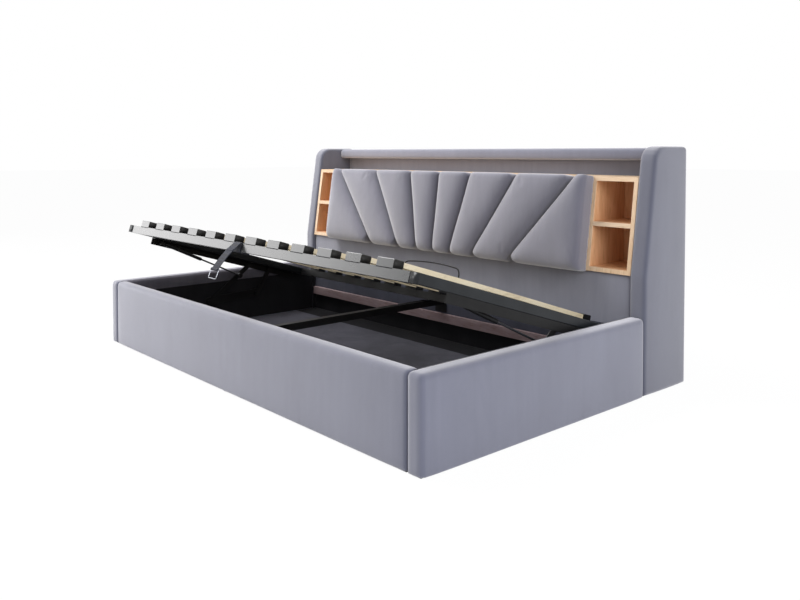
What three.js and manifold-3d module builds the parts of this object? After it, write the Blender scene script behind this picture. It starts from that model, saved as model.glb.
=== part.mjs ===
// Upholstered storage bed with a shelf headboard along its long side.
// Its slatted platform lifts on a four-bar linkage with a gas strut at each end.
// Millimetres, +X along the headboard, +Y towards it, +Z up.
import * as THREE from "three";
import { mergeVertices } from "three/addons/utils/BufferGeometryUtils.js";
import Module from "manifold-3d";

const wasm = await Module();
wasm.setup();

// Overall sizes
const outerWidth = 2130;
const sidePanelLength = 1105;
const panelHeight = 284;
const sidePanelThickness = 59;
const frontPanelThickness = 52;
const headboardHeight = 907;
const headboardDepth = 286;
const glideHeight = 3;
const glideRadius = 18;
const glideInset = 30;

// Clearances shared by all pieces
const seatGap = 0.3;
const panelGap = 0.3;
const overrun = 5;

// Padding and rounding of the upholstered panels
const panelEdge = 14;
const panelCorner = 16;
const wingEdge = 12;
const wingTopRadius = 60;
const wingHeelRadius = 14;

// Headboard
const wingThickness = 63;
const wingInset = 2;
const wingGap = 2;
const wingKneeHeight = 430;
const wingLeanDepth = 50;
const wingLeanHeight = 790;
const backPanelThickness = 31;
const topRailDepth = 92;
const topRailHeight = 49;
const topRailEdge = 16;
const topRailDrop = 4;
const ledgeDrop = 115;
const ledgeTop = headboardHeight - ledgeDrop;
const boardThickness = 17;
const backBoardThickness = 6;
const nicheWidth = 199;
const nicheShelfShare = 0.4986;
const nicheSetback = 8;
const lowerPanelSetback = 17;
const lowerPanelThickness = 25;

// Channelled pad
const padBoardThickness = 18;
const padShoulder = 74;
const padFootDepth = 40;
const padEdgeRadius = 24;
const padCornerRadius = 30;
const padEndRadius = 6;
const padSeamGap = 1.2;
const padSideGap = 2;
const padOverlap = 7;
const padOverhang = 7;
const seamTopShares = [0, 0.244, 0.571, 0.936, 1];
const seamFootShares = [0, 0.129, 0.287, 0.539, 1];
const padCrown = 14;
const padCrownShares = [0.7, 0.35];
const padNarrowShare = 2.4;
const padCornerLossShare = 0.5;
const padRingSteps = 4;
const padCornerSteps = 4;
const padSideSteps = 5;

// Storage box
const floorThickness = 8;
const floorHeight = 12;
const beamWidth = 30;
const beamHeight = 28;
const beamTop = 212;
const bracketThickness = 4;
const bracketWidth = 70;
const bracketDrop = 64;
const ledgerDepth = 15;
const ledgerHeight = 40;
const ledgerFoot = 101;

// Slatted platform, in its own frame: u runs back from its front edge, w up from its top
const platformRearGap = 80;
const platformSideGap = 11;
const platformFront = 62;
const platformRearTop = 245.6;
const platformTilt = 17.1;
const railWidth = 40;
const railHeight = 33;
const railEdge = 3;
const railWall = 2;
const slatCount = 12;
const endSlatInset = 157;
const slatWidthShare = 0.42;
const slatThickness = 16;
const slatFoot = 9;
const slatCrown = 2;
const slatSteps = 10;
const holderRim = 5.5;
const holderHeight = 28;
const holderLength = 42;
const holderRound = 5;
const slatInsertion = 26;

// Retainer arch on the rear rail
const archPlaceShare = 0.97;
const archHeight = 130;
const archRadius = 38;
const archRise = 16;
const wireRadius = 3;
const archFootRadius = 6;
const archFootHeight = 4;

// Pull strap and its ring
const strapWidth = 45;
const strapThickness = 2.4;
const strapWrapGap = 0.4;
const strapReach = 64;
const strapDrop = 112;
const strapBendShares = [0.62, 0.42];
const strapLoopRadius = 5.5;
const keeperShare = 0.3;
const keeperLengthShare = 0.06;
const keeperThickness = 1.4;
const ringWireRadius = 1.7;
const ringWidth = 56;
const ringLength = 34;
const ringCorner = 5;
const ringTilt = 22;

// Lift mechanism
const frontBaseReach = 638;
const frontBasePivotZ = 134;
const rearBaseReach = 364;
const rearBasePivotZ = 149;
const frontBarReach = 350;
const rearBarReach = 225;
const strutPivotU = 165;
const barFront = 122;
const barRearReach = 75;
const barHeight = 32;
const barWidth = 35;
const barThickness = 3;
const linkWidth = 24;
const linkThickness = 4;
const linkInset = 2;
const pinRadius = 5;
const pinHeadRadius = 9;
const pinHeadThickness = 2;
const pinClearance = 0.3;
const rearLinkSlotClearance = 2.3;
const basePlateThickness = 3;
const basePlateWidth = 40;
const strutInset = 25;
const strutBodyRadius = 8;
const strutBodyLength = 205;
const strutRodRadius = 4;
const strutNeckLength = 22;
const strutNeckRadius = 4.6;
const strutBoreClearance = 0.6;
const strutEyeRadius = 12.5;
const strutEyeThickness = 10;
const strutPinRadius = 4;
const strutSlotClearance = 4;
const strutLinkShare = 0.7112;
const strutRodStart = 100;

// Finishes
const velvet = { color: 0xa3a5ae, roughness: 0.9, metalness: 0 };
const beech = { color: 0xe6c79c, roughness: 0.5, metalness: 0 };
const slatWood = { color: 0xdccfae, roughness: 0.55, metalness: 0 };
const rawWood = { color: 0xb59a8c, roughness: 0.8, metalness: 0 };
const greySteel = { color: 0x34383c, roughness: 0.5, metalness: 0.4 };
const blackSteel = { color: 0x17181a, roughness: 0.45, metalness: 0.5 };
const brightSteel = { color: 0xb8bac0, roughness: 0.3, metalness: 0.9 };
const webbing = { color: 0x3b4157, roughness: 0.85, metalness: 0 };
const lining = { color: 0x46464d, roughness: 0.9, metalness: 0 };

const bed = new THREE.Group();

// Steps of a round outline
const roundSteps = 8;
const cornerSteps = 4;
const pinSteps = 20;

const alongX = new THREE.Matrix4().makeBasis(
  new THREE.Vector3(0, 1, 0),
  new THREE.Vector3(0, 0, 1),
  new THREE.Vector3(1, 0, 0),
);

function solidOf(geometry) {
  const plain = geometry.clone();
  plain.deleteAttribute("normal");
  plain.deleteAttribute("uv");
  const merged = mergeVertices(plain);
  return new wasm.Manifold(
    new wasm.Mesh({
      numProp: 3,
      vertProperties: new Float32Array(merged.attributes.position.array),
      triVerts: new Uint32Array(merged.index.array),
    }),
  );
}

function geometryOf(solid) {
  const mesh = solid.getMesh();
  const geometry = new THREE.BufferGeometry();
  geometry.setAttribute("position", new THREE.BufferAttribute(mesh.vertProperties, 3));
  geometry.setIndex(new THREE.BufferAttribute(mesh.triVerts, 1));
  geometry.computeVertexNormals();
  return geometry;
}

function join(...geometries) {
  return geometryOf(geometries.map(solidOf).reduce((all, next) => all.add(next)));
}

function cut(geometry, ...tools) {
  return geometryOf(tools.map(solidOf).reduce((all, next) => all.subtract(next), solidOf(geometry)));
}

function add(parent, name, geometry, finish, x = 0, y = 0, z = 0) {
  const mesh = new THREE.Mesh(geometry, new THREE.MeshStandardMaterial(finish));
  mesh.name = name;
  mesh.position.set(x, y, z);
  parent.add(mesh);
  return mesh;
}

// A box between two corners
function block(x0, x1, y0, y1, z0, z1) {
  const box = new THREE.BoxGeometry(x1 - x0, y1 - y0, z1 - z0);
  return box.translate((x0 + x1) / 2, (y0 + y1) / 2, (z0 + z1) / 2);
}

// A closed outline through corners [a, b, radius], with an arc at each corner that has a radius
function roundedOutline(corners) {
  const points = [];
  corners.forEach(([a, b, radius = 0], i) => {
    const before = corners.at(i - 1);
    const after = corners[(i + 1) % corners.length];
    const here = new THREE.Vector2(a, b);
    if (radius === 0) {
      points.push(here);
      return;
    }
    const back = new THREE.Vector2(before[0], before[1]).sub(here).normalize();
    const ahead = new THREE.Vector2(after[0], after[1]).sub(here).normalize();
    const half = Math.acos(THREE.MathUtils.clamp(back.dot(ahead), -1, 1)) / 2;
    const centre = here.clone().addScaledVector(back.clone().add(ahead).normalize(), radius / Math.sin(half));
    const start = here.clone().addScaledVector(back, radius / Math.tan(half));
    const turn = Math.sign(ahead.cross(back)) * (Math.PI - 2 * half);
    for (let s = 0; s <= cornerSteps; s++) {
      points.push(start.clone().rotateAround(centre, (turn * s) / cornerSteps));
    }
  });
  return new THREE.Shape(points);
}

// Points of an arc, or of a whole circle with its last point left out
function arcPoints(a, b, radius, from = 0, turn = 2 * Math.PI, steps = pinSteps) {
  const whole = Math.abs(turn) === 2 * Math.PI;
  const points = [];
  for (let s = 0; s < steps + (whole ? 0 : 1); s++) {
    const angle = from + (turn * s) / steps;
    points.push(new THREE.Vector2(a + radius * Math.cos(angle), b + radius * Math.sin(angle)));
  }
  return points;
}

// An outline extruded along its normal, with its edges rounded by a radius
function slab(shape, thickness, edge = 0, steps = 3) {
  return new THREE.ExtrudeGeometry(shape, {
    depth: thickness - 2 * edge,
    steps: 1,
    curveSegments: roundSteps,
    bevelEnabled: edge > 0,
    bevelThickness: edge,
    bevelSize: edge,
    bevelOffset: -edge,
    bevelSegments: steps,
  }).translate(0, 0, edge);
}

// The same, with the outline given in (y, z) and the thickness along +x
function slabAlongX(shape, thickness, edge = 0, steps = 3) {
  return slab(shape, thickness, edge, steps).applyMatrix4(alongX);
}

// A turned piece along x, through [x, radius] pairs that start and end on the axis
function turnedAlongX(profile, steps = pinSteps) {
  const points = profile.map(([x, radius]) => new THREE.Vector2(radius, x));
  return new THREE.LatheGeometry(points, steps).applyMatrix4(
    new THREE.Matrix4().makeBasis(
      new THREE.Vector3(0, 1, 0),
      new THREE.Vector3(1, 0, 0),
      new THREE.Vector3(0, 0, -1),
    ),
  );
}

const innerHalf = outerWidth / 2 - sidePanelThickness;
const platformLength = sidePanelLength - platformRearGap;
const platformTurn = THREE.MathUtils.degToRad(-platformTilt);
const platformTop = platformRearTop - platformLength * Math.sin(platformTurn);
const headboardFront = sidePanelLength + wingGap;
const headboardBack = headboardFront + headboardDepth;
const wingInner = outerWidth / 2 - wingInset - wingThickness;
const insideHalf = wingInner - panelGap;
const leanShare = wingLeanDepth / (wingLeanHeight - wingKneeHeight);

// Front plane of the headboard at a height
function leanAt(z) {
  return headboardFront + Math.max(0, z - wingKneeHeight) * leanShare;
}

function glide(x, y) {
  return new THREE.CylinderGeometry(glideRadius, glideRadius, glideHeight + overrun, pinSteps)
    .rotateX(Math.PI / 2)
    .translate(x, y, (overrun - glideHeight) / 2);
}

// A padded panel along +x whose cover is pulled over a square lower edge at the floor
function flatFooted(corners, thickness, edge, steps) {
  const panel = slabAlongX(roundedOutline(corners), thickness, edge, steps);
  panel.computeBoundingBox();
  const { min, max } = panel.boundingBox;
  return cut(
    panel,
    block(min.x - overrun, max.x + overrun, min.y - overrun, max.y + overrun, min.z - overrun, 0),
  );
}

function sidePanel() {
  const corners = [
    [0, -panelCorner, panelCorner],
    [sidePanelLength, -panelCorner, panelCorner],
    [sidePanelLength, panelHeight, panelCorner],
    [0, panelHeight, panelCorner],
  ];
  const middle = sidePanelThickness / 2;
  return join(
    flatFooted(corners, sidePanelThickness, panelEdge),
    glide(middle, panelCorner + glideInset),
    glide(middle, sidePanelLength / 2),
  );
}

function frontPanel() {
  const half = innerHalf - panelGap;
  const corners = [
    [0, -panelCorner, panelCorner],
    [frontPanelThickness, -panelCorner, panelCorner],
    [frontPanelThickness, panelHeight, panelCorner],
    [0, panelHeight, panelCorner],
  ];
  return join(
    flatFooted(corners, 2 * half, panelEdge / 2, 2).translate(-half, 0, 0),
    glide(0, frontPanelThickness / 2),
  );
}

function wing() {
  const knee = wingKneeHeight;
  const topY = leanAt(headboardHeight);
  const corners = [
    [headboardFront, -wingHeelRadius, wingHeelRadius],
    [headboardBack, -wingHeelRadius, wingHeelRadius],
    [headboardBack, headboardHeight, wingHeelRadius],
    [topY, headboardHeight, wingTopRadius],
    [headboardFront, knee, 0],
  ];
  const middle = wingThickness / 2;
  return join(
    flatFooted(corners, wingThickness, wingEdge),
    glide(middle, headboardBack - wingHeelRadius - glideInset),
    glide(middle, headboardFront + wingHeelRadius + glideInset),
  );
}

// Pieces of the left end are those of the right end, mirrored
function mirrorOf(group) {
  const mirror = new THREE.Group();
  mirror.scale.x = -1;
  group.add(mirror);
  return mirror;
}

// Storage box
const leftHalf = mirrorOf(bed);
const ends = [["right", bed], ["left", leftHalf]];
for (const [side, parent] of ends) {
  add(parent, side + "_side_panel", sidePanel(), velvet, innerHalf);
  add(parent, side + "_wing", wing(), velvet, wingInner);
}
add(bed, "front_panel", frontPanel(), velvet);

const lowerPanelFront = headboardFront + lowerPanelSetback;
const nicheFoot = wingKneeHeight - seatGap;
add(
  bed,
  "lower_panel",
  block(-insideHalf, insideHalf, lowerPanelFront, lowerPanelFront + lowerPanelThickness, 0, nicheFoot),
  velvet,
);
add(
  bed,
  "rear_ledger",
  block(
    -insideHalf,
    insideHalf,
    lowerPanelFront - ledgerDepth,
    lowerPanelFront,
    ledgerFoot,
    ledgerFoot + ledgerHeight,
  ),
  rawWood,
);
add(
  bed,
  "storage_floor",
  block(
    -insideHalf,
    insideHalf,
    frontPanelThickness,
    lowerPanelFront,
    floorHeight,
    floorHeight + floorThickness,
  ),
  lining,
);

function centreBeam() {
  const half = beamWidth / 2;
  const plateHalf = bracketWidth / 2;
  const plate = (y) =>
    block(-plateHalf, plateHalf, y, y + bracketThickness, beamTop - bracketDrop, beamTop);
  return join(
    block(-half, half, frontPanelThickness, lowerPanelFront, beamTop - beamHeight, beamTop),
    plate(frontPanelThickness),
    plate(lowerPanelFront - bracketThickness),
  );
}
add(bed, "centre_beam", centreBeam(), blackSteel);

// Headboard shell and its shelf
const backPanelFront = headboardBack - backPanelThickness;
const topRailFoot = headboardHeight - topRailDrop - topRailHeight;
add(
  bed,
  "headboard_back_panel",
  block(-insideHalf, insideHalf, backPanelFront, headboardBack, 0, topRailFoot),
  velvet,
);
add(
  bed,
  "top_rail",
  slabAlongX(
    roundedOutline([
      [headboardBack - topRailDepth, topRailFoot, topRailEdge],
      [headboardBack, topRailFoot, 0],
      [headboardBack, topRailFoot + topRailHeight, topRailEdge],
      [headboardBack - topRailDepth, topRailFoot + topRailHeight, topRailEdge],
    ]),
    2 * insideHalf,
  ).translate(-insideHalf, 0, 0),
  velvet,
);

// A board between two heights whose front edge follows the leaning front plane
function leaningBoard(zLow, zHigh, back, x0, x1, setback) {
  const shape = new THREE.Shape([
    new THREE.Vector2(leanAt(zLow) + setback, zLow),
    new THREE.Vector2(back, zLow),
    new THREE.Vector2(back, zHigh),
    new THREE.Vector2(leanAt(zHigh) + setback, zHigh),
  ]);
  return slabAlongX(shape, x1 - x0).translate(x0, 0, 0);
}

const ledgeFoot = ledgeTop - boardThickness;
add(
  bed,
  "ledge",
  leaningBoard(ledgeFoot, ledgeTop, backPanelFront, -insideHalf, insideHalf, nicheSetback),
  beech,
);

const nicheOuter = insideHalf;
const nicheInner = insideHalf - nicheWidth;
const nicheBack = backPanelFront - backBoardThickness;
const nicheShelfHeight = wingKneeHeight + (ledgeFoot - wingKneeHeight) * nicheShelfShare;

function nicheFrame() {
  const foot = wingKneeHeight;
  return join(
    leaningBoard(foot, ledgeFoot, nicheBack, nicheInner, nicheInner + boardThickness, nicheSetback),
    leaningBoard(foot, ledgeFoot, nicheBack, nicheOuter - boardThickness, nicheOuter, nicheSetback),
    leaningBoard(foot, foot + boardThickness, nicheBack, nicheInner, nicheOuter, nicheSetback),
  );
}

function nicheShelf() {
  return leaningBoard(
    nicheShelfHeight,
    nicheShelfHeight + boardThickness,
    nicheBack,
    nicheInner + boardThickness + seatGap,
    nicheOuter - boardThickness - seatGap,
    nicheSetback,
  );
}

function nicheBackBoard() {
  return block(nicheInner, nicheOuter, nicheBack, backPanelFront, wingKneeHeight, ledgeFoot);
}

for (const [side, parent] of ends) {
  add(parent, side + "_niche_frame", nicheFrame(), beech);
  add(parent, side + "_niche_shelf", nicheShelf(), beech);
  add(parent, side + "_niche_back", nicheBackBoard(), beech);
}

// Channelled pad: each channel is a pillow over a four-sided plan with rounded corners
const padBoardHalf = nicheInner - padSideGap;
const padHalf = nicheInner + padOverlap;
const padFoot = wingKneeHeight;
const padBoardBack = leanAt(padFoot) + nicheSetback + padBoardThickness;

function padBoard() {
  const front = (z) => leanAt(z) + nicheSetback;
  const shape = new THREE.Shape([
    new THREE.Vector2(front(padFoot), padFoot),
    new THREE.Vector2(padBoardBack, padFoot),
    new THREE.Vector2(front(ledgeFoot) + padBoardThickness, ledgeFoot - seatGap),
    new THREE.Vector2(front(ledgeFoot), ledgeFoot - seatGap),
  ]);
  return slabAlongX(shape, 2 * padBoardHalf).translate(-padBoardHalf, 0, 0);
}
add(bed, "pad_board", padBoard(), velvet);

// Points of a plan with its sides moved in by an inset and its corners rounded by a share of their radius
function planRing(corners, inset, radiusShare) {
  const count = corners.length;
  const moved = corners.map((corner, i) => {
    const before = corners.at(i - 1);
    const after = corners[(i + 1) % count];
    const a = corner.clone().sub(before).normalize();
    const b = after.clone().sub(corner).normalize();
    const inA = new THREE.Vector2(-a.y, a.x);
    const inB = new THREE.Vector2(-b.y, b.x);
    const bisector = inA.clone().add(inB).normalize();
    return corner.clone().addScaledVector(bisector, inset / bisector.dot(inA));
  });
  const ring = [];
  moved.forEach((corner, i) => {
    const before = moved.at(i - 1);
    const next = (i + 1) % count;
    const after = moved[next];
    const radius = corners[i].radius * radiusShare;
    const toBack = before.clone().sub(corner).normalize();
    const toNext = after.clone().sub(corner).normalize();
    const half = Math.acos(toBack.dot(toNext)) / 2;
    const run = radius / Math.tan(half);
    const centre = corner
      .clone()
      .addScaledVector(toBack.clone().add(toNext).normalize(), radius / Math.sin(half));
    const start = corner.clone().addScaledVector(toBack, run).sub(centre);
    const turn = Math.PI - 2 * half;
    for (let s = 0; s <= padCornerSteps; s++) {
      ring.push(start.clone().rotateAround(new THREE.Vector2(), (turn * s) / padCornerSteps).add(centre));
    }
    const here = ring.at(-1).clone();
    const nextToBack = corner.clone().sub(after).normalize();
    const nextToNext = moved[(i + 2) % count].clone().sub(after).normalize();
    const nextHalf = Math.acos(nextToBack.dot(nextToNext)) / 2;
    const nextRun = (corners[next].radius * radiusShare) / Math.tan(nextHalf);
    const there = after.clone().addScaledVector(nextToBack, nextRun);
    for (let s = 1; s < padSideSteps; s++) ring.push(here.clone().lerp(there, s / padSideSteps));
  });
  return ring;
}

// Pillow of a given plan, its flat back at zero depth
function pillow(corners) {
  const positions = [];
  const indices = [];
  const rings = [planRing(corners, 0, 1).map((p) => [p.x, p.y, 0])];
  for (let i = 0; i <= padRingSteps; i++) {
    const turn = (Math.PI / 2) * (i / padRingSteps);
    const inset = padEdgeRadius * (1 - Math.cos(turn)) * insetShare(corners);
    const depth = padFootDepth + (padShoulder - padFootDepth) * Math.sin(turn);
    const radiusShare = 1 - (padCornerLossShare * i) / padRingSteps;
    rings.push(planRing(corners, inset, radiusShare).map((p) => [p.x, p.y, depth]));
  }
  const shoulder = rings.at(-1);
  const [middleX, middleY] = centreOf(shoulder);
  for (const share of padCrownShares) {
    const depth = padShoulder + padCrown * (1 - share ** 2);
    const inwards = ([x, y]) => [middleX + (x - middleX) * share, middleY + (y - middleY) * share, depth];
    rings.push(shoulder.map(inwards));
  }
  rings.forEach((ring) => ring.forEach((point) => positions.push(...point)));
  const count = rings[0].length;
  for (let r = 0; r + 1 < rings.length; r++) {
    for (let i = 0; i < count; i++) {
      const a = r * count + i;
      const b = r * count + ((i + 1) % count);
      indices.push(a, b, b + count, a, b + count, a + count);
    }
  }
  const last = (rings.length - 1) * count;
  const top = positions.length / 3;
  positions.push(middleX, middleY, padShoulder + padCrown);
  positions.push(...centreOf(rings[0]), 0);
  for (let i = 0; i < count; i++) {
    const next = (i + 1) % count;
    indices.push(last + i, last + next, top);
    indices.push(next, i, top + 1);
  }
  const geometry = new THREE.BufferGeometry();
  geometry.setAttribute("position", new THREE.Float32BufferAttribute(positions, 3));
  geometry.setIndex(indices);
  geometry.computeVertexNormals();
  return geometry;
}

// Mean of a ring's points
function centreOf(ring) {
  return ring.reduce((sum, p) => [sum[0] + p[0] / ring.length, sum[1] + p[1] / ring.length], [0, 0]);
}

// How much of the edge radius the narrowest end of a plan leaves room for
function insetShare(corners) {
  const foot = corners[1].x - corners[0].x;
  const top = corners[2].x - corners[3].x;
  return Math.min(1, Math.min(foot, top) / (padNarrowShare * padEdgeRadius));
}

const padHeight = ledgeTop - padFoot;
const padFrame = new THREE.Group();
padFrame.position.set(0, leanAt(padFoot) + nicheSetback - seatGap, padFoot);
padFrame.rotation.x = Math.PI / 2 - Math.atan(leanShare);
bed.add(padFrame);
const padPlaneHeight = padHeight * Math.hypot(1, leanShare);
const tops = seamTopShares.map((share) => share * padHalf);
const foots = seamFootShares.map((share) => share * padHalf);
const channelNames = ["inner", "second", "third", "outer"];
channelNames.forEach((name, i) => {
  const gap = padSeamGap / 2;
  const outerGap = i + 1 < channelNames.length ? gap : 0;
  for (const [side, sign] of [["right", 1], ["left", -1]]) {
    const corner = (x, y, radius) => Object.assign(new THREE.Vector2(sign * x, y), { radius });
    const outerRadius = outerGap > 0 ? padCornerRadius : padEndRadius;
    const footIn = corner(foots[i] + gap, -padOverhang, padCornerRadius);
    const footOut = corner(foots[i + 1] - outerGap, -padOverhang, outerRadius);
    const topOut = corner(tops[i + 1] - outerGap, padPlaneHeight, outerRadius);
    const topIn = corner(tops[i] + gap, padPlaneHeight, padCornerRadius);
    const ordered = sign > 0 ? [footIn, footOut, topOut, topIn] : [footOut, footIn, topIn, topOut];
    add(padFrame, side + "_" + name + "_channel", pillow(ordered), velvet);
  }
});

// Slatted platform
const platform = new THREE.Group();
platform.position.set(0, platformFront, platformTop);
platform.rotation.x = platformTurn;
bed.add(platform);
const platformHalf = innerHalf - platformSideGap;

// Where a point (u, w) of the platform lies in the bed
function onPlatform(u, w) {
  const cosine = Math.cos(platformTurn);
  const sine = Math.sin(platformTurn);
  return new THREE.Vector2(platformFront + u * cosine - w * sine, platformTop + u * sine + w * cosine);
}

// Square tube with a plugged front end
function sideRail() {
  const section = (inset, corner) =>
    roundedOutline([
      [inset, inset, corner],
      [railWidth - inset, inset, corner],
      [railWidth - inset, railHeight - inset, corner],
      [inset, railHeight - inset, corner],
    ]);
  const tube = slab(section(0, railEdge), platformLength);
  const bore = slab(section(railWall, 0), platformLength).translate(0, 0, -railWall);
  return cut(tube, bore)
    .rotateX(Math.PI / 2)
    .translate(platformHalf - railWidth, platformLength, -railHeight);
}

const slatPitch = (2 * (platformHalf - endSlatInset)) / (slatCount - 1);
const slatPlaces = Array.from({ length: slatCount }, (_, i) => slatPitch * (i - (slatCount - 1) / 2));
const slatWidth = slatPitch * slatWidthShare;
const holderWidth = slatWidth + 2 * holderRim;

// Holder outline in (u, w): a low housing whose mouth takes the slat's end
function holder(flip) {
  const outline = roundedOutline([
    [0, -railEdge, 0],
    [holderLength, -railEdge, 0],
    [holderLength, holderHeight, holderRound],
    [0, holderHeight, holderRound / 2],
  ]);
  const housing = slabAlongX(outline, holderWidth).translate(-holderWidth / 2, 0, 0);
  const mouthHalf = slatWidth / 2 + seatGap;
  const mouth = block(
    -mouthHalf,
    mouthHalf,
    holderLength - slatInsertion - seatGap,
    holderLength + overrun,
    slatFoot - seatGap,
    slatFoot + slatThickness + seatGap + slatCrown / slatSteps,
  );
  const piece = cut(housing, mouth);
  return flip ? piece.rotateZ(Math.PI) : piece;
}

function endRail(atRear) {
  const half = platformHalf - railWidth - seatGap;
  const start = atRear ? platformLength - railWidth : 0;
  const bore = block(
    -half - overrun,
    half + overrun,
    start + railWall,
    start + railWidth - railWall,
    railWall - railHeight,
    -railWall,
  );
  const beam = cut(block(-half, half, start, start + railWidth, -railHeight, 0), bore);
  const edge = atRear ? platformLength : 0;
  const holders = slatPlaces.map((x) => holder(atRear).translate(x, edge, 0));
  return join(beam, ...holders);
}

function slat() {
  const start = holderLength - slatInsertion;
  const end = platformLength - start;
  const upper = [];
  const lower = [];
  for (let i = 0; i <= slatSteps; i++) {
    const share = i / slatSteps;
    const u = start + (end - start) * share;
    const rise = slatFoot + slatCrown * Math.sin(Math.PI * share) ** 2;
    lower.push(new THREE.Vector2(u, rise));
    upper.unshift(new THREE.Vector2(u, rise + slatThickness));
  }
  return slabAlongX(new THREE.Shape([...lower, ...upper]), slatWidth).translate(-slatWidth / 2, 0, 0);
}

add(platform, "front_rail", endRail(false), greySteel);
add(platform, "rear_rail", endRail(true), greySteel);
add(platform, "right_rail", sideRail(), greySteel);
add(platform, "left_rail", sideRail(), greySteel, -2 * platformHalf + railWidth);
slatPlaces.forEach((x, i) => add(platform, "slat_" + (i + 1), slat(), slatWood, x));

// Bent wire arch that keeps the mattress from sliding towards the headboard, its feet beside two holders
const archShift = ((slatPitch - holderWidth) / 2 - archFootRadius) * archPlaceShare;
const archHalfWidth = slatPitch + archShift;

function retainerArch() {
  const top = archHeight - wireRadius;
  const knee = top - archRadius;
  const path = new THREE.CurvePath();
  const point = (x, z) => new THREE.Vector3(x, 0, z);
  path.add(new THREE.LineCurve3(point(-archHalfWidth, 0), point(-archHalfWidth, knee)));
  path.add(
    new THREE.QuadraticBezierCurve3(
      point(-archHalfWidth, knee),
      point(-archHalfWidth, top),
      point(-archHalfWidth + archRadius, top),
    ),
  );
  path.add(
    new THREE.QuadraticBezierCurve3(
      point(-archHalfWidth + archRadius, top),
      point(0, top + archRise),
      point(archHalfWidth - archRadius, top),
    ),
  );
  path.add(
    new THREE.QuadraticBezierCurve3(
      point(archHalfWidth - archRadius, top),
      point(archHalfWidth, top),
      point(archHalfWidth, knee),
    ),
  );
  path.add(new THREE.LineCurve3(point(archHalfWidth, knee), point(archHalfWidth, 0)));
  const round = new THREE.Shape(arcPoints(0, 0, wireRadius, 0, 2 * Math.PI, roundSteps));
  const wire = new THREE.ExtrudeGeometry(round, {
    steps: 6 * roundSteps,
    curveSegments: roundSteps / 2,
    extrudePath: path,
  });
  const foot = (x) =>
    new THREE.CylinderGeometry(archFootRadius, archFootRadius, archFootHeight, pinSteps)
      .rotateX(Math.PI / 2)
      .translate(x, 0, archFootHeight / 2);
  return join(wire, foot(-archHalfWidth), foot(archHalfWidth));
}
add(platform, "retainer_arch", retainerArch(), blackSteel, 0, platformLength - railWidth / 2, seatGap);

// Pull strap: a loop round the front rail, and a tail that ends in an eye for the ring
function strapLoop() {
  const inner = strapWrapGap;
  const outer = strapWrapGap + strapThickness;
  const corners = (reach, radius) => [
    [-reach, -railHeight - reach, radius],
    [railWidth + reach, -railHeight - reach, radius],
    [railWidth + reach, reach, radius],
    [-reach, reach, radius],
  ];
  const outside = slabAlongX(roundedOutline(corners(outer, strapThickness)), strapWidth);
  const inside = slabAlongX(roundedOutline(corners(inner, 0)), strapWidth + 2 * overrun);
  return cut(outside, inside.translate(-overrun, 0, 0)).translate(-strapWidth / 2, 0, 0);
}

// A strip of even thickness along part of a curve
function ribbon(curve, thickness, from = 0, to = 1) {
  const outer = [];
  const inner = [];
  for (let i = 0; i <= roundSteps; i++) {
    const t = from + ((to - from) * i) / roundSteps;
    const at = curve.getPoint(t);
    const along = curve.getTangent(t);
    const side = new THREE.Vector2(-along.y, along.x);
    outer.push(at.clone().addScaledVector(side, thickness / 2));
    inner.unshift(at.clone().addScaledVector(side, -thickness / 2));
  }
  return new THREE.Shape([...outer, ...inner]);
}

const strapHinge = new THREE.Vector2(-strapWrapGap - 1.5 * strapThickness - seatGap, 0);
const [bendReachShare, bendDropShare] = strapBendShares;
const tail = new THREE.QuadraticBezierCurve(
  strapHinge,
  strapHinge.clone().sub(new THREE.Vector2(strapReach * bendReachShare, strapDrop * bendDropShare)),
  strapHinge.clone().sub(new THREE.Vector2(strapReach, strapDrop)),
);
const eyeCentre = tail
  .getPoint(1)
  .addScaledVector(tail.getTangent(1), strapLoopRadius - strapThickness / 2);

function strapTail() {
  const eye = new THREE.Shape(arcPoints(eyeCentre.x, eyeCentre.y, strapLoopRadius));
  const hole = ringWireRadius + pinClearance;
  eye.holes.push(new THREE.Path(arcPoints(eyeCentre.x, eyeCentre.y, hole)));
  const keeperEnd = keeperShare + keeperLengthShare;
  const keeper = ribbon(tail, strapThickness + 2 * keeperThickness, keeperShare, keeperEnd);
  const pieces = [ribbon(tail, strapThickness), eye, keeper].map((shape) => slabAlongX(shape, strapWidth));
  return join(...pieces).translate(-strapWidth / 2, 0, 0);
}
add(platform, "pull_strap", strapLoop(), webbing);
add(platform, "strap_tail", strapTail(), webbing);

function pullRing() {
  const half = ringWidth / 2;
  const corner = ringCorner;
  const path = new THREE.CurvePath();
  const at = (x, z) => new THREE.Vector3(x, 0, z);
  const run = (a, b) => path.add(new THREE.LineCurve3(a, b));
  const bend = (a, b, c) => path.add(new THREE.QuadraticBezierCurve3(a, b, c));
  run(at(0, 0), at(half - corner, 0));
  bend(at(half - corner, 0), at(half, 0), at(half, -corner));
  run(at(half, -corner), at(half, corner - ringLength));
  bend(at(half, corner - ringLength), at(half, -ringLength), at(half - corner, -ringLength));
  run(at(half - corner, -ringLength), at(corner - half, -ringLength));
  bend(at(corner - half, -ringLength), at(-half, -ringLength), at(-half, corner - ringLength));
  run(at(-half, corner - ringLength), at(-half, -corner));
  bend(at(-half, -corner), at(-half, 0), at(corner - half, 0));
  run(at(corner - half, 0), at(0, 0));
  const points = path.getSpacedPoints(5 * roundSteps);
  points.pop();
  return wireRing(points, ringWireRadius);
}

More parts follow.
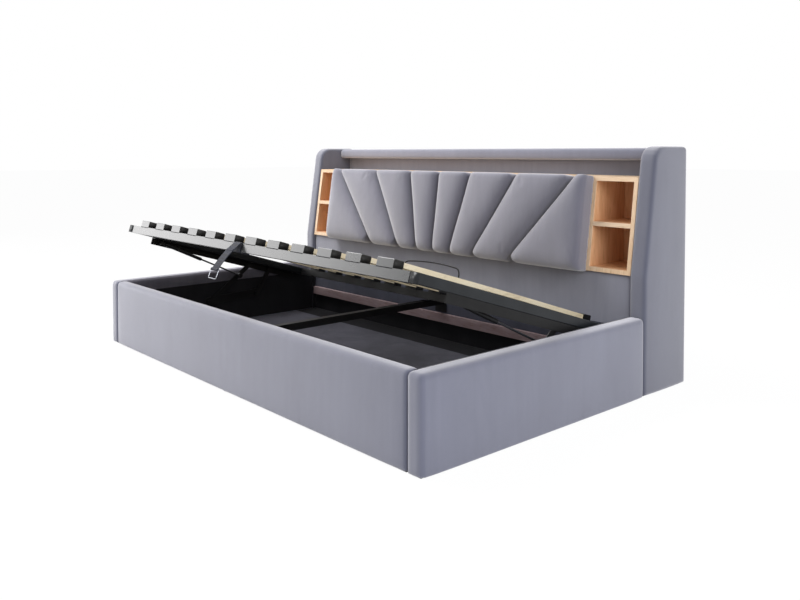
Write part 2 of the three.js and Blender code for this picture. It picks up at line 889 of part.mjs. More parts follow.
// A closed tube with its round section swept through a flat ring of points
function wireRing(points, radius) {
  const sides = roundSteps;
  const count = points.length;
  const positions = [];
  const indices = [];
  points.forEach((point, i) => {
    const ahead = points[(i + 1) % count].clone().sub(points.at(i - 1)).normalize();
    const out = new THREE.Vector3(ahead.z, 0, -ahead.x);
    for (let s = 0; s < sides; s++) {
      const turn = (2 * Math.PI * s) / sides;
      const p = point.clone().addScaledVector(out, radius * Math.cos(turn));
      positions.push(p.x, p.y + radius * Math.sin(turn), p.z);
    }
  });
  for (let i = 0; i < count; i++) {
    for (let s = 0; s < sides; s++) {
      const a = i * sides + s;
      const b = i * sides + ((s + 1) % sides);
      const c = ((i + 1) % count) * sides + s;
      const d = ((i + 1) % count) * sides + ((s + 1) % sides);
      indices.push(a, b, d, a, d, c);
    }
  }
  const geometry = new THREE.BufferGeometry();
  geometry.setAttribute("position", new THREE.Float32BufferAttribute(positions, 3));
  geometry.setIndex(indices);
  geometry.computeVertexNormals();
  return geometry;
}

const ringPlace = onPlatform(eyeCentre.x, eyeCentre.y);
const ring = add(bed, "pull_ring", pullRing(), brightSteel, 0, ringPlace.x, ringPlace.y);
ring.rotation.x = THREE.MathUtils.degToRad(-ringTilt);

// Lift mechanism of the right end; the left end mirrors it
const barPivotW = -railHeight - barHeight / 2;
const frontBarPivotU = platformLength - frontBarReach;
const rearBarPivotU = platformLength - rearBarReach;
const barRear = platformLength - barRearReach;
const frontBase = new THREE.Vector2(sidePanelLength - frontBaseReach, frontBasePivotZ);
const rearBase = new THREE.Vector2(sidePanelLength - rearBaseReach, rearBasePivotZ);
const frontTop = onPlatform(frontBarPivotU, barPivotW);
const rearTop = onPlatform(rearBarPivotU, barPivotW);
const strutTop = onPlatform(strutPivotU, barPivotW);
const strutFoot = frontBase.clone().lerp(frontTop, strutLinkShare);
const flangeInner = platformHalf - barThickness;
const linkOuter = flangeInner - linkInset;
const linkInner = linkOuter - linkThickness;
const strutX = flangeInner - strutInset + strutEyeThickness / 2;

// Pin along x from a wall through a link or eye, with a shoulder before it and a head after it
function pin(wall, shoulder, inner, radius, headRadius) {
  const head = inner - pinClearance;
  return turnedAlongX([
    [head - pinHeadThickness, 0],
    [head - pinHeadThickness, headRadius],
    [head, headRadius],
    [head, radius],
    [shoulder + pinClearance, radius],
    [shoulder + pinClearance, headRadius],
    [wall, headRadius],
    [wall, 0],
  ]);
}

function liftBar() {
  const outline = new THREE.Shape([
    new THREE.Vector2(flangeInner, -railHeight - barHeight),
    new THREE.Vector2(platformHalf, -railHeight - barHeight),
    new THREE.Vector2(platformHalf, -railHeight - seatGap),
    new THREE.Vector2(platformHalf - barWidth, -railHeight - seatGap),
    new THREE.Vector2(platformHalf - barWidth, -railHeight - barThickness),
    new THREE.Vector2(flangeInner, -railHeight - barThickness),
  ]);
  const bar = slab(outline, barRear - barFront).rotateX(Math.PI / 2).translate(0, barRear, 0);
  const wall = flangeInner + barThickness / 2;
  const linkPin = pin(wall, linkOuter, linkInner, pinRadius, pinHeadRadius);
  const eye = strutEyeThickness / 2;
  const strutPin = pin(wall, strutX + eye, strutX - eye, strutPinRadius, pinHeadRadius);
  return join(
    bar,
    linkPin.clone().translate(0, frontBarPivotU, barPivotW),
    linkPin.clone().translate(0, rearBarPivotU, barPivotW),
    strutPin.translate(0, strutPivotU, barPivotW),
  );
}

function place(geometry, from, to) {
  const turn = Math.atan2(to.y - from.y, to.x - from.x);
  return geometry.rotateX(turn).translate(0, from.x, from.y);
}

// Flat bar between two eyes, along +y from the origin
function linkBar(length, footHole, topHole) {
  const half = linkWidth / 2;
  const shape = new THREE.Shape([
    ...arcPoints(0, 0, half, Math.PI / 2, Math.PI),
    ...arcPoints(length, 0, half, -Math.PI / 2, Math.PI),
  ]);
  shape.holes.push(new THREE.Path(arcPoints(0, 0, footHole)));
  shape.holes.push(new THREE.Path(arcPoints(length, 0, topHole)));
  return slabAlongX(shape, linkThickness).translate(linkInner, 0, 0);
}

function frontLink() {
  const hole = pinRadius + pinClearance;
  const length = frontTop.distanceTo(frontBase);
  const eye = strutEyeThickness / 2;
  const wall = linkInner + linkThickness / 2;
  const strutPin = pin(wall, strutX + eye, strutX - eye, strutPinRadius, strutEyeRadius);
  return place(
    join(linkBar(length, hole, hole), strutPin.translate(0, length * strutLinkShare, 0)),
    frontBase,
    frontTop,
  );
}

function rearLink() {
  const length = rearTop.distanceTo(rearBase);
  const bar = linkBar(length, pinRadius + pinClearance, pinRadius + rearLinkSlotClearance);
  return place(bar, rearBase, rearTop);
}

function basePlate() {
  const half = basePlateWidth / 2;
  const length = rearBase.distanceTo(frontBase);
  const outline = roundedOutline([
    [-half, -half, half / 2],
    [length + half, -half, half / 2],
    [length + half, half, half / 2],
    [-half, half, half / 2],
  ]);
  const plate = slabAlongX(outline, basePlateThickness).translate(
    innerHalf - basePlateThickness - seatGap,
    0,
    0,
  );
  const wall = innerHalf - basePlateThickness / 2 - seatGap;
  const linkPin = pin(wall, linkOuter, linkInner, pinRadius, pinHeadRadius);
  return place(join(plate, linkPin.clone(), linkPin.clone().translate(0, length, 0)), frontBase, rearBase);
}

function eyeRing(outer, inner) {
  const shape = new THREE.Shape(arcPoints(0, 0, outer));
  shape.holes.push(new THREE.Path(arcPoints(0, 0, inner)));
  return slabAlongX(shape, strutEyeThickness).translate(-strutEyeThickness / 2, 0, 0);
}

// A turned piece along +y
function turnedAlongY(profile) {
  const points = profile.map(([y, radius]) => new THREE.Vector2(radius, y));
  return new THREE.LatheGeometry(points, pinSteps);
}

const strutLength = strutTop.distanceTo(strutFoot);

function strutCylinder() {
  const bore = strutRodRadius + strutBoreClearance;
  const start = strutNeckLength;
  const end = start + strutBodyLength;
  const inner = strutPinRadius + pinClearance;
  const neckStart = (strutBodyRadius + strutPinRadius) / 2;
  const body = turnedAlongY([
    [neckStart, 0],
    [neckStart, strutNeckRadius],
    [start, strutNeckRadius],
    [start, strutBodyRadius - 2 * pinClearance],
    [start + strutNeckRadius / 2, strutBodyRadius],
    [end - strutNeckRadius / 2, strutBodyRadius],
    [end, strutBodyRadius - strutNeckRadius / 2],
    [end, bore],
    [start + strutNeckRadius, bore],
    [start + strutNeckRadius, 0],
  ]);
  return join(eyeRing(strutBodyRadius, inner), body);
}

function strutRod() {
  const inner = strutPinRadius + strutSlotClearance;
  const end = strutLength - (inner + strutEyeRadius) / 2;
  const rod = turnedAlongY([
    [strutRodStart, 0],
    [strutRodStart, strutRodRadius],
    [end, strutRodRadius],
    [end, 0],
  ]);
  return join(rod, eyeRing(strutEyeRadius, inner).translate(0, strutLength, 0));
}

for (const [side, fixed, raised] of [
  ["right", bed, platform],
  ["left", leftHalf, mirrorOf(platform)],
]) {
  add(raised, side + "_lift_bar", liftBar(), blackSteel);
  add(fixed, side + "_base_plate", basePlate(), blackSteel);
  add(fixed, side + "_front_link", frontLink(), blackSteel);
  add(fixed, side + "_rear_link", rearLink(), blackSteel);
  add(fixed, side + "_strut_cylinder", place(strutCylinder(), strutTop, strutFoot), blackSteel, strutX);
  add(fixed, side + "_strut_rod", place(strutRod(), strutTop, strutFoot), blackSteel, strutX);
}

// The part's origin is the centre of its outer box, on the floor
const bounds = new THREE.Box3().setFromObject(bed, true);
bed.position.set(0, -(bounds.min.y + bounds.max.y) / 2, -bounds.min.z);

export default bed;
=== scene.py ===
"""Looks of the bed with storage headboard: velvet, beech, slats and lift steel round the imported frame."""

import math

import bmesh
import bpy
import numpy as np
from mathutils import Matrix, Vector, noise


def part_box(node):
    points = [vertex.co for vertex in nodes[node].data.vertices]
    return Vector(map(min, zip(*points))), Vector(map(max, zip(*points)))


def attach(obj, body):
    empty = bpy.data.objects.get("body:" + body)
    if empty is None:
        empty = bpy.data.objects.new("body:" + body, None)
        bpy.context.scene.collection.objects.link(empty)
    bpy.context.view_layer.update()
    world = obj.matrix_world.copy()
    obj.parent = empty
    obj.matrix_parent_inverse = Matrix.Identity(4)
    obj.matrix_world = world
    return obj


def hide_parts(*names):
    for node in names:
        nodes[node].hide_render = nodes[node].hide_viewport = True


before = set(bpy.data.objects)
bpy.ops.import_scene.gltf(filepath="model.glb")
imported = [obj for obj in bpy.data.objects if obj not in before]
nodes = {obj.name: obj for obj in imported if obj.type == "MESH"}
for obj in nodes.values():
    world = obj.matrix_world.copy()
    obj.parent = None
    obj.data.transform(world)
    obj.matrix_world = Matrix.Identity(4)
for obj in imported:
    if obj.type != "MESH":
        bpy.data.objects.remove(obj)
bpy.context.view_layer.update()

# ---------------------------------------------------------------- layout
# Places named in millimetres are in the CAD source's own layout: x to the right from the middle,
# y back from the front panel's front face, z up from the panels' feet.
MM_PER_M = 1000
FLOOR_UNDERSIDE = 0.012      # storage floor above the panels' feet, in metres
SHIFT = Vector((0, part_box("front_panel")[0].y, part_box("storage_floor")[0].z - FLOOR_UNDERSIDE))

PLATFORM_Y, PLATFORM_Z = 62, 546.99     # front rail's upper front edge, with the platform raised
TILT = math.radians(-17.1)              # slope of the raised platform
LEAN = 50 / 360                         # how far the headboard's front leans back, per height
KNEE_Z = 430                            # height at which that lean starts
SLATS = range(1, 13)
SIDES = (("left", -1), ("right", 1))


def row(x, y, z):
    """A point of the CAD layout, in millimetres, as a point of the row frame."""
    return Vector((x, y, z)) / MM_PER_M + SHIFT


def on_platform(x, u, w):
    """A point of the raised platform: x across, u back along it and w up from it, in millimetres."""
    c, s = math.cos(TILT), math.sin(TILT)
    return row(x, PLATFORM_Y + u * c - w * s, PLATFORM_Z + u * s + w * c)


def both_ways(sign, near, far):
    """The range from near to far on one side of the middle, low end first."""
    return tuple(sorted((sign * near, sign * far)))


# ---------------------------------------------------------------- shader helpers
def srgb(r, g, b):
    """Linear colour of an 8-bit one."""
    def linear(v):
        v /= 255
        return v / 12.92 if v <= 0.04045 else ((v + 0.055) / 1.055) ** 2.4

    return (linear(r), linear(g), linear(b), 1)


def grey(value):
    return (value, value, value, 1)


WHITE, NONE = grey(1), grey(0)


class Nodes:
    """Adds and links the nodes of one shader tree."""

    def __init__(self, tree):
        self.tree = tree

    def add(self, kind, **values):
        """A new node with the given settings and input values."""
        node = self.tree.nodes.new(kind)
        for key, value in values.items():
            if hasattr(node, key):
                setattr(node, key, value)
            else:
                node.inputs[key.replace("_", " ")].default_value = value
        return node

    def link(self, a, b):
        self.tree.links.new(a, b)

    def feed(self, socket, value):
        """Sets an input to a number or colour, or links it to an output."""
        if isinstance(value, bpy.types.NodeSocket):
            self.link(value, socket)
        else:
            socket.default_value = value

    def coords(self, scale=(1, 1, 1), rotation=(0, 0, 0)):
        mapping = self.add("ShaderNodeMapping", Scale=scale, Rotation=rotation)
        self.link(self.add("ShaderNodeTexCoord").outputs["Object"], mapping.inputs["Vector"])
        return mapping.outputs["Vector"]

    def split_coords(self):
        split = self.add("ShaderNodeSeparateXYZ")
        self.link(self.add("ShaderNodeTexCoord").outputs["Object"], split.inputs[0])
        return split.outputs

    def noise(self, vector, scale, detail=2.0, rough=0.5, distortion=0.0):
        node = self.add("ShaderNodeTexNoise", Scale=scale, Detail=detail, Roughness=rough,
                        Distortion=distortion)
        self.link(vector, node.inputs["Vector"])
        return node.outputs["Fac"]

    def bands(self, vector, direction, scale, distortion):
        node = self.add("ShaderNodeTexWave", wave_type="BANDS", bands_direction=direction,
                        Scale=scale, Distortion=distortion)
        self.link(vector, node.inputs["Vector"])
        return node.outputs["Fac"]

    def ramp(self, fac, *stops):
        node = self.add("ShaderNodeValToRGB")
        ramp = node.color_ramp
        ramp.elements[0].position, ramp.elements[0].color = stops[0]
        ramp.elements[1].position, ramp.elements[1].color = stops[-1]
        for position, colour in stops[1:-1]:
            ramp.elements.new(position).color = colour
        self.link(fac, node.inputs["Fac"])
        return node.outputs["Color"]

    def mix(self, a, b, fac, blend="MIX"):
        node = self.add("ShaderNodeMix", data_type="RGBA", blend_type=blend)
        for socket, value in (("A", a), ("B", b)):
            self.feed([i for i in node.inputs if i.name == socket and i.type == "RGBA"][0], value)
        self.feed([i for i in node.inputs if i.name == "Factor" and i.type == "VALUE"][0], fac)
        return [o for o in node.outputs if o.type == "RGBA"][0]

    def math(self, op, a, b=0.0):
        node = self.add("ShaderNodeMath", operation=op)
        self.feed(node.inputs[0], a)
        self.feed(node.inputs[1], b)
        return node.outputs[0]

    def blend(self, a, b, share):
        """Sum of two values, the first with this share."""
        return self.math("ADD", self.math("MULTIPLY", a, share), self.math("MULTIPLY", b, 1 - share))

    def bump(self, height, distance, strength, normal=None):
        node = self.add("ShaderNodeBump", Distance=distance, Strength=strength)
        self.link(height, node.inputs["Height"])
        if normal is not None:
            self.link(normal, node.inputs["Normal"])
        return node.outputs["Normal"]

    def background_rays(self):
        """1 for the rays that show the pale background as it is: camera, glossy and transmission."""
        path = self.add("ShaderNodeLightPath").outputs
        return self.math("MAXIMUM", path["Is Camera Ray"],
                         self.math("MAXIMUM", path["Is Glossy Ray"], path["Is Transmission Ray"]))

    def mix_to_output(self, fac, first, second, output):
        node = self.add("ShaderNodeMixShader")
        self.link(fac, node.inputs["Fac"])
        self.link(first.outputs[0], node.inputs[1])
        self.link(second.outputs[0], node.inputs[2])
        self.link(node.outputs[0], output.inputs["Surface"])


class Surface(Nodes):
    """The shader tree of a new material."""

    def __init__(self, name):
        self.material = bpy.data.materials.new(name)
        self.material.use_nodes = True
        super().__init__(self.material.node_tree)
        self.bsdf = self.tree.nodes["Principled BSDF"]

    def set(self, **values):
        """Feeds the main shader's inputs and returns the material."""
        for key, value in values.items():
            self.feed(self.bsdf.inputs[key.replace("_", " ")], value)
        return self.material


# ---------------------------------------------------------------- materials
SHEEN_TINT = (0.98, 0.97, 1, 1)
# Painted shade: behind their front edges the niches' insides are tinted darker and warmer, standing in for
# their shade and the light the beech throws back.
PAINTED_SHADE_TINT = (0.94, 0.74, 0.60, 1)       # warm shade of the niches' insides
FRONT_EDGE = (0.0025, 0.0045)             # depth behind the niche's front where the shade sets in, in metres
SLAT_FOOT = (0, 16, 9)                    # a slat's underside on the platform
SLAT_THICK, PLIES = 0.016, 5.0
GLUE_LINE = srgb(186, 164, 122)


def velvet(name, light, dark, sheen=1.0):
    """Short-pile velvet: brushed patches, fine pile and a soft sheen at glancing angles."""
    n = Surface(name)
    cloud = n.noise(n.coords(), scale=1.9, detail=3, rough=0.6, distortion=0.4)
    brush = n.noise(n.coords((9, 9, 2.2)), scale=1.0, detail=4, rough=0.62, distortion=0.9)
    pile = n.noise(n.coords(), scale=1400, detail=2, rough=0.6)
    grain = n.noise(n.coords((1, 1, 2.0)), scale=380, detail=3, rough=0.65)
    streak = n.noise(n.coords((40, 40, 2.6)), scale=1.0, detail=3, rough=0.6)
    patches = n.ramp(n.blend(cloud, brush, 0.6), (0.38, dark), (0.62, light))
    fibres = n.ramp(n.blend(pile, grain, 0.5), (0.32, (0.84, 0.84, 0.85, 1)), (0.68, grey(1.08)))
    streaks = n.ramp(streak, (0.3, grey(0.93)), (0.7, grey(1.07)))
    colour = n.mix(n.mix(patches, fibres, 0.6, "MULTIPLY"), streaks, 0.7, "MULTIPLY")
    soft = n.bump(n.noise(n.coords(), scale=22, detail=3, rough=0.5), distance=0.0007, strength=0.35)
    fine = n.bump(grain, distance=0.0004, strength=0.4, normal=soft)
    normal = n.bump(pile, distance=0.0004, strength=0.45, normal=fine)
    return n.set(Base_Color=colour, Roughness=0.95, Sheen_Weight=sheen, Sheen_Roughness=0.6,
                 Sheen_Tint=SHEEN_TINT, Specular_IOR_Level=0.1, Normal=normal)


def painted_shade_inside(n, colour, front):
    """The niche's colour, with painted shade behind its leaning front edges: a darker, warmer tint that
    stands in for the shade and bounced light inside.
    """
    place = n.split_coords()
    lean = n.math("MULTIPLY", n.math("SUBTRACT", place["Z"], front.z), LEAN)
    behind = n.math("SUBTRACT", n.math("SUBTRACT", place["Y"], front.y), lean)
    edge = n.ramp(behind, (FRONT_EDGE[0], WHITE), (FRONT_EDGE[1], NONE))
    return n.mix(n.mix(colour, PAINTED_SHADE_TINT, 1.0, "MULTIPLY"), colour, edge)


def glue_lines(n, colour):
    """The slat's colour, with thin lines between its plies."""
    foot = on_platform(*SLAT_FOOT)
    place = n.split_coords()
    rise = n.math("ADD", n.math("MULTIPLY", place["Z"], math.cos(TILT)),
                  n.math("MULTIPLY", place["Y"], -math.sin(TILT)))
    zero = foot.z * math.cos(TILT) - foot.y * math.sin(TILT)
    share = n.math("DIVIDE", n.math("SUBTRACT", rise, zero), SLAT_THICK)
    within_ply = n.math("FRACT", n.math("MULTIPLY", share, PLIES))
    line = n.math("GREATER_THAN", n.math("ABSOLUTE", n.math("SUBTRACT", within_ply, 0.5)), 0.42)
    return n.mix(colour, GLUE_LINE, n.math("MULTIPLY", line, 0.5))


def wood(name, light, middle, dark, grain, rough=0.5, ply_lines_and_painted_shade=None):
    """Board or slat with its grain along the axis that grain leaves long. ply_lines_and_painted_shade changes
    its colour: real glue lines on the slats, painted shade in the niches.
    """
    n = Surface(name)

    def along(finer):
        return n.coords(tuple(share * finer for share in grain))

    broad = n.noise(along(5), scale=1.0, detail=3, rough=0.55, distortion=0.8)
    fibre = n.noise(along(42), scale=1.0, detail=4, rough=0.65, distortion=0.2)
    pore = n.noise(along(150), scale=1.0, detail=2, rough=0.5)
    figure = n.ramp(n.blend(broad, fibre, 0.5), (0.34, dark), (0.5, middle), (0.66, light))
    flecks = n.ramp(pore, (0.30, (0.72, 0.66, 0.6, 1)), (0.42, WHITE))
    colour = n.mix(figure, flecks, 0.6, "MULTIPLY")
    if ply_lines_and_painted_shade:
        colour = ply_lines_and_painted_shade(n, colour)
    normal = n.bump(fibre, distance=0.0004, strength=0.35, normal=n.bump(pore, distance=0.0002, strength=0.4))
    return n.set(Base_Color=colour, Roughness=rough, Specular_IOR_Level=0.35, Normal=normal)


def paint(name, colour, rough, metal=0.0, gloss=0.5, wear=None, peel=600, **coat):
    """Coated or bare steel with a fine uneven surface, faint wear and an optional clear coat."""
    n = Surface(name)
    cloud = n.noise(n.coords(), scale=9, detail=4, rough=0.6)
    lighter = tuple(min(1, c * 1.35 + 0.004) for c in colour[:3]) + (1,)
    base = n.ramp(cloud, (0.35, colour), (0.7, lighter))
    if wear:
        scratch = n.noise(n.coords((1, 18, 18)), scale=22, detail=4, rough=0.7)
        base = n.mix(base, wear, n.math("MULTIPLY", n.math("GREATER_THAN", scratch, 0.71), 0.35))
    roughness = n.add("ShaderNodeMapRange", To_Min=rough * 0.82, To_Max=min(1, rough * 1.2))
    n.link(cloud, roughness.inputs["Value"])
    normal = n.bump(n.noise(n.coords(), scale=peel, detail=2, rough=0.5), distance=0.0002, strength=0.35)
    return n.set(Base_Color=base, Roughness=roughness.outputs[0], Metallic=metal,
                 Specular_IOR_Level=gloss, Normal=normal, **coat)


def webbing(name, turn=math.radians(-40)):
    """Flat woven strap: ribs along its length crossed by fine picks."""
    n = Surface(name)
    vector = n.coords(rotation=(turn, 0, 0))
    ribs = n.bands(vector, "X", scale=120, distortion=0.4)
    picks = n.bands(vector, "Z", scale=190, distortion=0.6)
    height = n.math("MULTIPLY", ribs, picks)
    base = n.ramp(height, (0.0, srgb(14, 16, 26)), (0.9, srgb(42, 47, 64)))
    return n.set(Base_Color=base, Roughness=0.8, Sheen_Weight=0.06,
                 Normal=n.bump(height, distance=0.0005, strength=0.8))


# Painted shade: darker, warmer beech behind the niches' front edges.
def niche_painted_shade(n, colour):
    return painted_shade_inside(n, colour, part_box("right_niche_frame")[0])


VELVET = velvet("velvet", srgb(103, 106, 124), srgb(92, 95, 113))
# Painted shade: a darker copy of the same velvet for the wings, standing in for the shade they lie in.
SHADED_WING_VELVET = velvet("velvet_wing_painted_shade", srgb(88, 91, 107), srgb(78, 81, 97))
# Painted light: a lighter copy of the same velvet for the lower and back panels, standing in for the light
# bounced into them.
BOUNCE_LIT_VELVET = velvet("velvet_inner_painted_light", srgb(127, 129, 143), srgb(115, 117, 131))
PAD = velvet("velvet_pad", srgb(109, 109, 122), srgb(99, 99, 112))
FLOOR_CLOTH = velvet("floor_lining", srgb(76, 76, 86), srgb(50, 50, 58), sheen=0.12)
BLACK_CLOTH = velvet("black_lining", srgb(33, 33, 36), srgb(25, 25, 28), sheen=0.03)
# Painted shade: a dark, dull cloth for the sheet over the lower panel below the raised platform, where it
# lies in shade.
REAR_PAINTED_SHADE = velvet("rear_shade_sheet", srgb(72, 74, 86), srgb(60, 62, 73), sheen=0.1)
# Partly painted shade: the velvet's real turn over the side panels' top edges, in a darker copy with less
# sheen for the shade inside the box.
RETURN_SHADED_VELVET = velvet("return_painted_shade", srgb(98, 96, 106), srgb(86, 84, 94), sheen=0.4)

BEECH = (srgb(238, 214, 186), srgb(229, 200, 167), srgb(206, 170, 132))
ALONG_X, ALONG_Z = (0.12, 1, 1), (1, 1, 0.12)
BEECH_X = wood("beech_along_x", *BEECH, ALONG_X, rough=0.45)
# The niche boards carry painted shade behind their front edges; the plain beech and the slats do not.
NICHE_X = wood("niche_beech_along_x", *BEECH, ALONG_X, rough=0.45, ply_lines_and_painted_shade=niche_painted_shade)
NICHE_Z = wood("niche_beech_along_z", *BEECH, ALONG_Z, rough=0.45, ply_lines_and_painted_shade=niche_painted_shade)
SLAT = wood("slat_birch", srgb(236, 226, 200), srgb(226, 213, 183), srgb(206, 189, 152), (1, 0.08, 0.3),
            ply_lines_and_painted_shade=glue_lines)
RAW = wood("raw_board", srgb(176, 156, 156), srgb(158, 138, 140), srgb(138, 116, 118), (0.15, 1, 1),
           rough=0.85)

GREY = paint("rail_grey", srgb(23, 26, 29), 0.31, gloss=0.26, wear=srgb(46, 48, 52))
FRONT_GREY = paint("front_rail_grey", srgb(22, 25, 27), 0.28, gloss=0.9, wear=srgb(48, 50, 54),
                   Coat_Weight=0.3, Coat_Roughness=0.25, Coat_IOR=1.9)
BLACK = paint("mechanism_black", srgb(13, 13, 14), 0.42, gloss=0.2, wear=srgb(34, 34, 36))
HOLDER = paint("holder_plastic", srgb(30, 29, 28), 0.5, gloss=0.2, peel=300)
CHROME = paint("ring_steel", srgb(150, 152, 158), 0.26, metal=1.0, peel=900)
ROD = paint("rod_steel", srgb(66, 68, 72), 0.3, metal=0.9, gloss=0.4, peel=900)
WEB = webbing("strap_webbing")


# ---------------------------------------------------------------- mesh helpers
SHARP_ANGLE, STRAP_SHARP_ANGLE, BEVEL_ANGLE = 35, 50, 40


def link(obj):
    bpy.context.scene.collection.objects.link(obj)
    return obj


def coordinates(mesh, what="co"):
    """The mesh's vertex places, or their normals, as an array."""
    values = np.empty(len(mesh.vertices) * 3)
    mesh.vertices.foreach_get(what, values)
    return values.reshape(-1, 3)


def shade_smooth(mesh):
    mesh.polygons.foreach_set("use_smooth", [True] * len(mesh.polygons))


def reshape(mesh, places):
    """Moves the mesh's vertices to these places and shades it smooth."""
    mesh.vertices.foreach_set("co", places.ravel())
    shade_smooth(mesh)
    mesh.update()


def mark_sharp(mesh, angle):
    """Marks the edges that turn by more than the angle as sharp, and no others."""
    bm = bmesh.new()
    bm.from_mesh(mesh)
    flags = [len(e.link_faces) == 2 and e.calc_face_angle(0) > math.radians(angle) for e in bm.edges]
    bm.free()
    mesh.edges.foreach_set("use_edge_sharp", flags)


def cover(mesh, material):
    """Gives the mesh this material alone."""
    mesh.materials.clear()
    mesh.materials.append(material)


def mesh_object(name, vertices, faces, material):
    mesh = bpy.data.meshes.new(name)
    mesh.from_pydata([tuple(v) for v in vertices], [], [tuple(f) for f in faces])
    mesh.validate()
    cover(mesh, material)
    shade_smooth(mesh)
    mesh.update()
    return link(bpy.data.objects.new(name, mesh))


def copy_of(node, name, material):
    """A piece of its own with the CAD node's mesh."""
    obj = link(bpy.data.objects.new(name, nodes[node].data.copy()))
    cover(obj.data, material)
    return obj


def box_mesh(name, low, high, material):
    """A thin board between two corners of the row frame."""
    bm = bmesh.new()
    bmesh.ops.create_cube(bm, size=1)
    size, centre = high - low, (high + low) / 2
    for v in bm.verts:
        v.co = Vector((v.co.x * size.x, v.co.y * size.y, v.co.z * size.z)) + centre
    mesh = bpy.data.meshes.new(name)
    bm.to_mesh(mesh)
    bm.free()
    cover(mesh, material)
    return link(bpy.data.objects.new(name, mesh))


def dress(node, material, bevel=0.0):
    """Material, smooth shading by angle and a small edge round on a carried-over CAD node."""
    obj = nodes[node]
    cover(obj.data, material)
    shade_smooth(obj.data)
    if not bevel:
        mark_sharp(obj.data, SHARP_ANGLE)
        return
    edge = obj.modifiers.new("edge", "BEVEL")
    edge.width = bevel
    edge.segments = 2
    edge.limit_method = "ANGLE"
    edge.angle_limit = math.radians(BEVEL_ANGLE)
    edge.harden_normals = True


def applied(obj):
    """Turns the object's modifiers into its mesh."""
    bpy.context.view_layer.update()
    graph = bpy.context.evaluated_depsgraph_get()
    mesh = bpy.data.meshes.new_from_object(obj.evaluated_get(graph))
    old = obj.data
    obj.modifiers.clear()
    obj.data = mesh
    bpy.data.meshes.remove(old)


def remeshed(obj, voxel):
    remesh = obj.modifiers.new("remesh", "REMESH")
    remesh.mode = "VOXEL"
    remesh.voxel_size = voxel
    applied(obj)


def waves(points, *terms):
    """A gentle unevenness at each point: noise at several scales, each with its share."""
    lift = np.zeros(len(points))
    for scale, share in terms:
        lift += np.array([noise.noise(Vector(p) * scale) for p in points]) * share
    return lift


def trim(obj, body):
    """Attaches a scene-only detail to its body."""
    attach(obj, body)


def upholstery(obj, node):
    """Attaches a padded piece to the base and hides the CAD node it stands for."""
    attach(obj, "base")
    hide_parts(node)


# ---------------------------------------------------------------- upholstered panels
# Lengths of this section's functions are in metres, but for proud
HELD_SKIN = 0.002            # skin of the flat side that no smoothing moves
FREE_BAND = 0.012            # distance over which the points beside a held side become free
WEIGHT_LEVELS = 10           # steps in which a point's freedom is given
FOOT_LEVEL = SHIFT.z - 0.0004            # just under the panels' feet
STANDS_BELOW = 0.02          # a piece that starts below this stands on the floor
FOOT_DROP = 0.0022           # how far the cover of a standing piece comes down round its foot
PANEL_WAVES = ((4.1, 0.75), (13.0, 0.25))
WING_FRONT_Y = 1107          # the wing's front edge below the knee
FACING_GAIN, FACING_START = 2, 0.6       # how squarely a point has to face out to be crowned
NOT_PROUD = (0, 0, 0)


def freedom(co, low, high, flat):
    """How far each point may be smoothed: not at the foot, nor on the flat side."""
    free = np.clip((co[:, 2] - low[2]) / FREE_BAND, 0, 1)
    if flat:
        axis, direction = flat
        side = co[:, axis] - low[axis] if direction < 0 else high[axis] - co[:, axis]
        free *= np.clip((side - HELD_SKIN) / FREE_BAND, 0, 1)
    return free


def relax(obj, free, rounds):
    """Rounds the mesh's edges by smoothing its free points."""
    group = obj.vertex_groups.new(name="free")
    for level in range(1, WEIGHT_LEVELS + 1):
        picked = np.nonzero(np.round(free * WEIGHT_LEVELS) == level)[0]
        group.add([int(i) for i in picked], level / WEIGHT_LEVELS, "REPLACE")
    smooth = obj.modifiers.new("relax", "SMOOTH")
    smooth.factor = 0.5
    smooth.iterations = rounds
    smooth.vertex_group = "free"
    applied(obj)
    obj.vertex_groups.clear()


def crown_face(co, normals, low, high, face, crown, reach, border):
    """Domes one side of a board, given as (axis, direction), from its edges inwards."""
    axis, direction = face
    inside = np.minimum(co - low, high - co)
    inside[:, 2] = high[2] - co[:, 2]
    gaps = [inside[:, i] for i in range(3) if i != axis]
    if border is not None:
        gaps.append(border(co))
    share = np.ones(len(co))
    for gap in gaps:
        share *= 1 - np.exp(-np.maximum(gap, 0) / reach)
    facing = np.clip(normals[:, axis] * direction * FACING_GAIN - FACING_START, 0, 1)
    co[:, axis] += direction * crown * share * facing


def soft_copy(node, name, material, voxel, rounds, face=None, crown=0.0, reach=0.06, border=None,
              swell=0.0006, flat=None, proud=(NOT_PROUD, NOT_PROUD)):
    """A padded piece in the space of a CAD node: a fine remesh whose edges are rounded by smoothing,
    refitted to the node's box, and crowned on one face. border gives each point's distance from
    that face's leaning edge, flat is a side (axis, direction) that stays as it is, like the foot,
    and proud is how far the fabric stands out of the box at its low and high sides, in millimetres."""
    obj = copy_of(node, name, material)
    remeshed(obj, voxel * (1))
    co = coordinates(obj.data)
    low, high = co.min(0), co.max(0)
    free = freedom(co, low, high, flat)
    relax(obj, free, rounds)

    co = coordinates(obj.data)
    normals = coordinates(obj.data, "normal")
    new_low, new_high = co.min(0), co.max(0)
    low, high = low - np.array(proud[0]) / MM_PER_M, high + np.array(proud[1]) / MM_PER_M
    co = low + (co - new_low) * (high - low) / (new_high - new_low)
    if low[2] < STANDS_BELOW:
        above = co[:, 2] - FOOT_LEVEL
        co[:, 2] -= np.clip((FREE_BAND - above) / FREE_BAND, 0, 1) * (co[:, 2] > FOOT_LEVEL) * FOOT_DROP
    co += normals * (waves(co, *PANEL_WAVES) * swell * free)[:, None]
    if face:
        crown_face(co, normals, low, high, face, crown, reach, border)
    reshape(obj.data, co)
    upholstery(obj, node)


def wing_border(co):
    """Distance behind the wing's front edge, which leans back above the knee."""
    height = (co[:, 2] - SHIFT.z) * MM_PER_M
    front = WING_FRONT_Y + np.maximum(0, height - KNEE_Z) * LEAN
    return co[:, 1] - SHIFT.y - front / MM_PER_M


